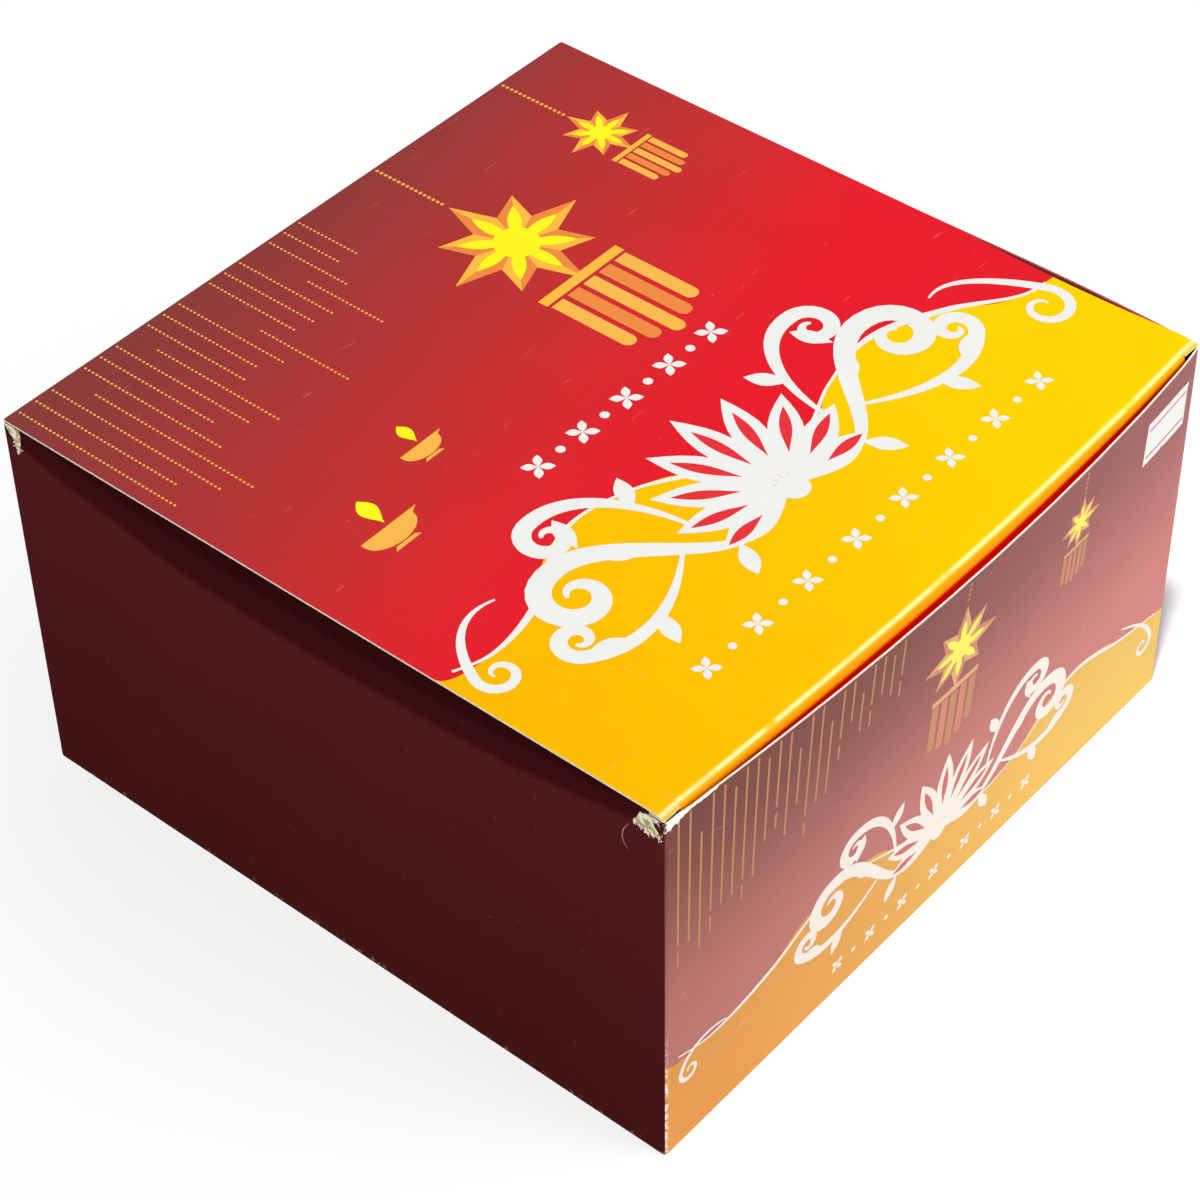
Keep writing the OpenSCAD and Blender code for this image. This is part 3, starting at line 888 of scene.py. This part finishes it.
class SWEETBOX_OT_lid(Step, bpy.types.Operator):
    """Lid with two ears, the soft fold, and the tuck flap behind the front wall"""

    bl_idname = "sweetbox.lid"
    bl_label = "Lid and tuck flap"

    def build(self):
        fold_half = LID_HALF - SLIT
        flat_rows = spread(HALF - BOARD, FLAT_END, LID_ROWS)
        materials = [lid_print(), grey_board(), raw_edge()]
        bm = bmesh.new()
        keys = [("flat", y) for y in flat_rows] + [("fold", a) for a in spread(0.0, LIP_ANGLE, 6)]
        across = spread(-fold_half, fold_half, LID_COLUMNS)

        def on_main(x, key):
            return on_lid(x, key[1]) if key[0] == "flat" else on_fold(x, key[1])

        grid(bm, across, keys, on_main)
        for side in (-1, 1):
            def on_ear(u, y):
                share = min(1.0, max(0.0, (-y - EAR_PULL_START) / EAR_PULL_LENGTH))
                pulled = EAR_PULL * max(0.0, math.sin(math.pi * share)) if side > 0 else 0.0
                width = LID_HALF - fold_half - pulled
                x = side * (fold_half + width * u)
                droop = EAR_DROOP * max(0.0, (-y + FLAT_END) / (HALF + FLAT_END)) ** 1.3
                return on_lid(x, y) - Vector((0, 0, droop))

            grid(bm, spread(0.0, 1.0, 3), flat_rows + EAR_ROWS, on_ear)
        bmesh.ops.remove_doubles(bm, verts=bm.verts, dist=0.001)
        face_towards(bm, UP)
        lid = link("board_lid", bm, materials, "lid", BOARD)
        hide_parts("lid_panel")

        bm = bmesh.new()
        length = math.radians(90 + TUCK_LEAN - TUCK_ANGLE) * FOLD_R + TUCK_STRAIGHT
        downs = spread(0.0, TUCK_SHOULDER, 6) + spread(TUCK_SHOULDER + 1.0, length, 14)

        def on_flap(share, down):
            half = fold_half
            if down > TUCK_SHOULDER:
                half = TUCK_HALF
                over = down - (length - TUCK_CORNER)
                if over > 0:
                    half -= TUCK_CORNER - math.sqrt(max(0.0, TUCK_CORNER**2 - over**2))
            return on_tuck(share * half, down)

        grid(bm, spread(-1.0, 1.0, TUCK_COLUMNS), downs, on_flap)
        face_towards(bm, FORWARD)
        tuck = link("board_tuck_flap", bm, materials, "tuck", BOARD)
        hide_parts("tuck_flap")

        bm = bmesh.new()
        grid(bm, across, spread(LIP_ANGLE, TUCK_ANGLE, 4), on_fold)
        face_towards(bm, FORWARD)
        crease = link("soft_fold", bm, materials, None, CREASE_SKIN)
        # The fold is bowed, and only its height is the same all along
        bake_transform(crease)


class SWEETBOX_OT_creases(Step, bpy.types.Operator):
    """Living hinges: the board carries on from a wall to its flap"""

    bl_idname = "sweetbox.creases"
    bl_label = "Creases"

    def build(self):
        angles = spread(0.0, 90.0, 6)
        low = WALL_TOP - BOARD

        def quarter(edge, u, angle, top):
            """A quarter turn of the board from a wall's face at u to a flat flap."""
            a = math.radians(angle)
            face = edge(u, top - BOARD, 0.0)
            out = (edge(u, top - BOARD, 1.0) - face).normalized()
            return face - out * BOARD * (1 - math.cos(a)) + Vector((0, 0, BOARD * math.sin(a)))

        for name, body, edge, top, material, first, final, reach in (
            ("dust_crease_strip_left", "dust_left", on_left, WALL_TOP,
             side_print_with_painted_shade(True), -98.0, 97.0, FLAP_OVERLAP),
            ("dust_crease_strip_right", "dust_right", on_right, WALL_TOP,
             right_print(), -97.0, 98.0, FLAP_OVERLAP),
            ("lid_crease_strip", "lid", on_back, TOP - SKIN,
             lid_print(), -100.9, 100.9, LID_OVERLAP),
        ):
            bm = bmesh.new()
            keys = [("wall", low)] + [("turn", a) for a in angles] + [("flap", reach)]
            if top > WALL_TOP:
                keys = [("wall", low), ("wall", 0.5 * (low + top - BOARD))] + keys[1:]

            def placed(u, key):
                if key[0] == "wall":
                    return edge(u, key[1], 0.0)
                if key[0] == "turn":
                    return quarter(edge, u, key[1], top)
                last = quarter(edge, u, 90.0, top)
                out = (edge(u, low, 1.0) - edge(u, low, 0.0)).normalized()
                return last - out * key[1]

            grid(bm, spread(first, final, 40), keys, placed)
            face_towards(bm, UP)
            bmesh.ops.remove_doubles(bm, verts=bm.verts, dist=0.0005)
            skin = 0.9 * BOARD if top > WALL_TOP else CREASE_SKIN
            strip = link(name, bm, [material, grey_board(), raw_edge()], None, skin)
            # The crease is bowed, and only its height is the same all along
            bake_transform(strip)


class SWEETBOX_OT_flaps(Step, bpy.types.Operator):
    """Finishes of the dust flaps, the bottom lock, the seam tab and the glue line"""

    bl_idname = "sweetbox.flaps"
    bl_label = "Flaps and bottom lock"

    def build(self):
        finishes = {
            "dust_flap_left": flap_sides(),
            "dust_flap_right": flap_sides(),
            "bottom_tongue_flap": bottom_sides(0),
            "bottom_side_flap_left": bottom_sides(1),
            "bottom_side_flap_right": bottom_sides(1),
            "bottom_slotted_flap": bottom_sides(2),
            "side_seam_tab": grey_board(),
            "seam_glue": glue(),
        }
        for node, material in finishes.items():
            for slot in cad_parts[node].material_slots:
                slot.material = material


def ink_layers(inks, art, place, body, prefix, cut=0.0):
    """Prints every layer of a drawing with its ink."""
    for name, loops in art.items():
        title = f"{prefix}_ink_{name}"
        print_layer(title, loops, place, body, inks[name], INK_LIFTS[name], cut)


class SWEETBOX_OT_lid_art(Step, bpy.types.Operator):
    """A generic festive print on the lid: beads, star lanterns, oil lamps and a lotus"""

    bl_idname = "sweetbox.lid_art"
    bl_label = "Lid print"

    def build(self):
        inks = {
            "white": ink("white_ink", (0.80, 0.80, 0.77), 0.2),
            "rose": ink("rose_ink", (0.74, 0.03, 0.04), 0.2),
            "amber": ink("amber_ink", (0.88, 0.45, 0.07), 0.2),
            "orange": ink("orange_ink", (0.80, 0.24, 0.05), 0.2),
            "honey": ink("honey_ink", (0.92, 0.47, 0.05), 0.2),
            "yellow": ink("yellow_ink", (0.97, 0.86, 0.01), 0.2),
        }
        art = {name: [] for name in inks}

        wave_line(art, LID_WAVE, 1.5)
        right_end = swirl(bezier((74, -41), (84, -38), (92, -52), (96, -62)), 7.5, -1.05)
        left_end = swirl(bezier((-74, -30), (-84, -26), (-92, -34), (-96, -44)), 5.5, 1.05)
        for path, thick in ((right_end, 2.8), (left_end, 2.6)):
            art["white"].append(stroke(path, swell(0.6, thick)))
        ornament(art, -2.0, -42.0, 1.08)
        flower_row(art, 2.0, -80.0, 9.0, 15, 3.6)
        flower_row(art, -2.0, -8.0, 8.0, 9, 4.2)

        rng = random.Random(7)
        for k in range(19):
            x = -97.0 + 5.3 * k
            start = HALF - 1.0 - (rng.uniform(8, 26) if k % 4 == 3 else 0.0)
            length = 14 + 58 * (1 - k / 21) * rng.uniform(0.55, 1.0)
            art["amber"] += bead_string(x, start, start - length)
        star_lantern(art, 27.0, 52.0, 23.0, HALF - 1.0)
        star_lantern(art, 76.0, 66.0, 11.5, HALF - 1.0)
        lamp(art, -72.0, 4.0, 8.0)
        lamp(art, -46.0, 18.0, 6.0)
        ink_layers(inks, art, on_lid, "lid", "lid")


class SWEETBOX_OT_wall_art(Step, bpy.types.Operator):
    """The same print, smaller, on the front wall"""

    bl_idname = "sweetbox.wall_art"
    bl_label = "Wall print"

    def build(self):
        inks = {
            "white": ink("pale_ink", (0.74, 0.69, 0.63), 0.3),
            "rose": ink("dull_rose_ink", (0.45, 0.06, 0.06), 0.3),
            "amber": ink("dull_gold_ink", (0.44, 0.20, 0.075), 0.1),
            "orange": ink("brick_ink", (0.50, 0.15, 0.06), 0.3),
            "honey": ink("tan_ink", (0.62, 0.30, 0.10), 0.3),
            "yellow": ink("lamp_yellow_ink", (0.85, 0.74, 0.02), 0.3),
        }
        art = {name: [] for name in inks}
        wave_line(art, WALL_WAVE, 1.0)
        right_end = swirl(bezier((80, 34), (88, 30), (94, 26), (96, 20)), 3.6, -1.05)
        left_end = swirl(bezier((-80, 30), (-88, 33), (-94, 30), (-96, 25)), 3.4, 1.05)
        for path, thick in ((right_end, 1.5), (left_end, 1.4)):
            art["white"].append(stroke(path, swell(0.5, thick)))
        ornament(art, 2.0, 37.0, 0.80)
        flower_row(art, 2.0, 9.5, 6.5, 13, 2.6)

        rng = random.Random(11)
        top = FRONT_TOP - 1.2
        for k in range(22):
            x = -97.5 + 3.5 * k
            start = top - (rng.uniform(2, 10) if k % 3 == 2 else 0.0)
            foot = start - (14 + 42 * (1 - k / 22)) * rng.uniform(0.5, 1.0)
            parts = [(start, foot)]
            if k % 3 == 0:
                parts.append((foot - 2, foot - 7))
            for high, low in parts:
                art["amber"].append(stroke([Vector((x, high)), Vector((x, low))], lambda t: 0.6))
        star_lantern(art, 0.0, 90.0, 14.0, top)
        star_lantern(art, 48.0, 95.0, 8.5, top)
        ink_layers(inks, art, on_front, "carton", "front", INK_STRIP)


class SWEETBOX_OT_sticker(Step, bpy.types.Operator):
    """Blank price sticker with two red lines, lifted a little at one corner"""

    bl_idname = "sweetbox.sticker"
    bl_label = "Price sticker"

    def build(self):
        lo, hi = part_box("price_sticker")
        bm = bmesh.new()

        def placed(u, v):
            x = (lo.x + (hi.x - lo.x) * u) / MM
            z = (lo.z + (hi.z - lo.z) * v) / MM
            nick = 0.5 * max(0.0, 1 - abs(u - 0.45) / 0.03) if v == 0 else 0.0
            lifted = 0.16 * max(0.0, u + v - 1.8) / 0.2
            return on_front(x, z + nick, 0.07 + lifted)

        grid(bm, spread(0, 1, 40), spread(0, 1, 10), placed)
        face_towards(bm, FORWARD)
        piece = link("label", bm, [sticker_paper()], "carton", 0.05, 0, 0)
        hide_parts("price_sticker")


class SWEETBOX_OT_worn_corners(Step, bpy.types.Operator):
    """Torn plies, in part painted shade, and loose fibres at the two worn top corners"""

    bl_idname = "sweetbox.worn_corners"
    bl_label = "Worn corners"

    def build(self):
        rng = random.Random(3)
        left, front = round_corner(on_left), round_corner(on_front)
        front_tear = [(94.5, 111.4), (92.4, 107.0), (94.2, 107.4), (96.1, 106.3), (97.5, 106.7),
                      (100.2, 106.6), (101.1, 109.4), (101.0, 112.2), (98.0, 112.6)]
        back_tear = [(-101.0, 112.9), (-96.0, 112.9), (-95.9, 110.6), (-97.2, 105.2),
                     (-98.4, 109.2), (-99.8, 111.2)]
        lip = [(-101.2, 112.6), (-101.0, 109.8), (-98.6, 110.5), (-96.4, 111.4),
               (-93.0, 111.9), (-86.0, 112.3), (-86.0, 112.6)]
        # The torn patches lie where the board is torn open, and their olive yellow is painted shade of
        # the inside
        torn_with_painted_shade, white = torn_board(), ink("torn_white", (0.88, 0.85, 0.76), 0.1)
        for name, loop, place, material, lift in (
            ("torn_front_left_with_painted_shade", front_tear, left, torn_with_painted_shade, 0.01),
            ("torn_back_left_with_painted_shade", back_tear, left, torn_with_painted_shade, 0.01),
            ("torn_lip", lip, front, white, 0.10),
        ):
            shape = self.ragged([Vector(p) for p in loop], rng, 0.22)
            print_layer(name, [shape], place, "carton", material, lift,
                        thickness=TORN_THICKNESS)
        fibres = {"loose_fibres_left": [], "loose_fibres_front": []}
        for loop, first, last in ((front_tear, 1, 6), (back_tear, 2, 5), (lip, 1, 4)):
            name = "loose_fibres_front" if loop is lip else "loose_fibres_left"
            edge = [Vector(p) for p in loop[first:last]]
            for k in range(len(edge) - 1):
                for _ in range(FIBRES_PER_SIDE):
                    spot = edge[k].lerp(edge[k + 1], rng.random())
                    size = rng.uniform(0.5, 1.3)
                    fibre = leaf(size, 0.28 * size, 0.8)
                    fibres[name].append(moved(fibre, spot.x, spot.y, rng.uniform(60, 300)))
        for name, place in (("loose_fibres_left", left), ("loose_fibres_front", front)):
            print_layer(name, fibres[name], place, "carton", white, 0.03)
        path = ((91.2, 105.3), (89.6, 102.6), (89.2, 100.2), (89.7, 98.6), (90.8, 97.2))
        scratch = stroke([Vector(p) for p in path], swell(0.12, 0.34))
        pale = ink("scratch_ink", (0.42, 0.20, 0.19), 0.0)
        print_layer("scratch", [scratch], on_left, "carton", pale, 0.03)

    def ragged(self, loop, rng, size):
        """Breaks each side of an outline into short uneven steps."""
        points = []
        for k, p in enumerate(loop):
            after = loop[(k + 1) % len(loop)]
            steps = max(1, round((after - p).length / 0.7))
            side = Vector((p.y - after.y, after.x - p.x)).normalized()
            for j in range(steps):
                points.append(p.lerp(after, j / steps) + side * rng.uniform(-size, size))
        return points


class SWEETBOX_OT_stage(Step, bpy.types.Operator):
    """Pale floor, soft studio light and the photograph's camera"""

    bl_idname = "sweetbox.stage"
    bl_label = "Stage"

    def build(self):
        scene = bpy.context.scene
        scene.view_settings.view_transform = "Standard"

        bm = bmesh.new()
        bmesh.ops.create_circle(bm, cap_ends=True, segments=96, radius=FLOOR_RADIUS)
        bmesh.ops.translate(bm, vec=(0, 0, -FLOOR_DROP), verts=bm.verts)
        mesh = bpy.data.meshes.new("floor")
        bm.to_mesh(mesh)
        bm.free()
        floor = bpy.data.objects.new("floor", mesh)
        scene.collection.objects.link(floor)
        mesh.materials.append(self.floor_material())

        world = bpy.data.worlds.new("studio")
        scene.world = world
        world.use_nodes = True
        tree = world.node_tree
        back = tree.nodes["Background"]
        path = tree.nodes.new("ShaderNodeLightPath")
        strength = tree.nodes.new("ShaderNodeMix")
        strength.inputs[2].default_value = SKY_FILL
        strength.inputs[3].default_value = 1.0
        tree.links.new(path.outputs["Is Camera Ray"], strength.inputs[0])
        tree.links.new(strength.outputs[0], back.inputs["Strength"])
        back.inputs["Color"].default_value = (1, 1, 1, 1)

        sun = bpy.data.lights.new("overhead", "SUN")
        sun.energy, sun.angle = SUN_POWER, math.radians(SUN_ANGLE)
        self.aim(sun, SUN_FROM)
        soft = bpy.data.lights.new("softbox_front", "AREA")
        soft.shape, soft.energy = "RECTANGLE", SOFTBOX_POWER
        soft.size, soft.size_y = SOFTBOX_SIZE
        self.aim(soft, SOFTBOX_AT)

        camera = bpy.data.cameras.new("camera")
        camera.lens, camera.sensor_width = CAMERA_LENS, CAMERA_SENSOR
        camera.clip_start, camera.clip_end = 0.05, 20.0
        ahead = CAMERA_AHEAD.normalized()
        up = (CAMERA_UP - ahead * CAMERA_UP.dot(ahead)).normalized()
        turn = Matrix((ahead.cross(up), up, -ahead)).transposed().to_4x4()
        eye = bpy.data.objects.new("camera", camera)
        eye.matrix_world = Matrix.Translation(CAMERA_AT) @ turn
        scene.collection.objects.link(eye)
        scene.camera = eye

    def aim(self, light, place):
        source = bpy.data.objects.new(light.name, light)
        source.location = place
        source.rotation_euler = (place - LIGHT_TARGET).to_track_quat("Z", "Y").to_euler()
        bpy.context.scene.collection.objects.link(source)

    def floor_material(self):
        s = Shade("floor_white")
        s.finish((0.9, 0.9, 0.9), 0.9, 0.0)
        glow, path, mixer = s.node("Emission"), s.node("LightPath"), s.node("MixShader")
        glow.inputs["Strength"].default_value = 1.0
        squares = s.math("ADD", s.math("MULTIPLY", s.x, s.x), s.math("MULTIPLY", s.y, s.y))
        far = s.ramp(s.math("SQRT", squares), GLOW_NEAR, GLOW_FAR)
        seen = s.math("MAXIMUM", path.outputs["Is Camera Ray"], path.outputs["Is Glossy Ray"])
        s.put(mixer.inputs[0], s.math("MULTIPLY", far, seen))
        s.put(mixer.inputs[1], s.shader.outputs[0])
        s.put(mixer.inputs[2], glow.outputs[0])
        s.put(s.tree.nodes["Material Output"].inputs["Surface"], mixer.outputs[0])
        return s.material


class SWEETBOX_PT_panel(bpy.types.Panel):
    """Lists the steps that dress the carton"""

    bl_label = "Sweet box"
    bl_idname = "SWEETBOX_PT_panel"
    bl_space_type = "VIEW_3D"
    bl_region_type = "UI"
    bl_category = "Sweet box"

    def draw(self, context):
        for name in SweetBoxSettings.__annotations__:
            self.layout.prop(context.scene.sweet_box, name)
        for step in STEPS:
            self.layout.operator(step.bl_idname)


STEPS = (
    SWEETBOX_OT_walls,
    SWEETBOX_OT_lid,
    SWEETBOX_OT_creases,
    SWEETBOX_OT_flaps,
    SWEETBOX_OT_lid_art,
    SWEETBOX_OT_wall_art,
    SWEETBOX_OT_sticker,
    SWEETBOX_OT_worn_corners,
    SWEETBOX_OT_stage,
)
CLASSES = (SweetBoxSettings, *STEPS, SWEETBOX_PT_panel)


def register():
    for cls in CLASSES:
        bpy.utils.register_class(cls)
    bpy.types.Scene.sweet_box = bpy.props.PointerProperty(type=SweetBoxSettings)


def unregister():
    del bpy.types.Scene.sweet_box
    for cls in reversed(CLASSES):
        bpy.utils.unregister_class(cls)


def main():
    register()
    for step in STEPS:
        group, name = step.bl_idname.split(".")
        getattr(getattr(bpy.ops, group), name)()


if __name__ == "__main__":
    main()
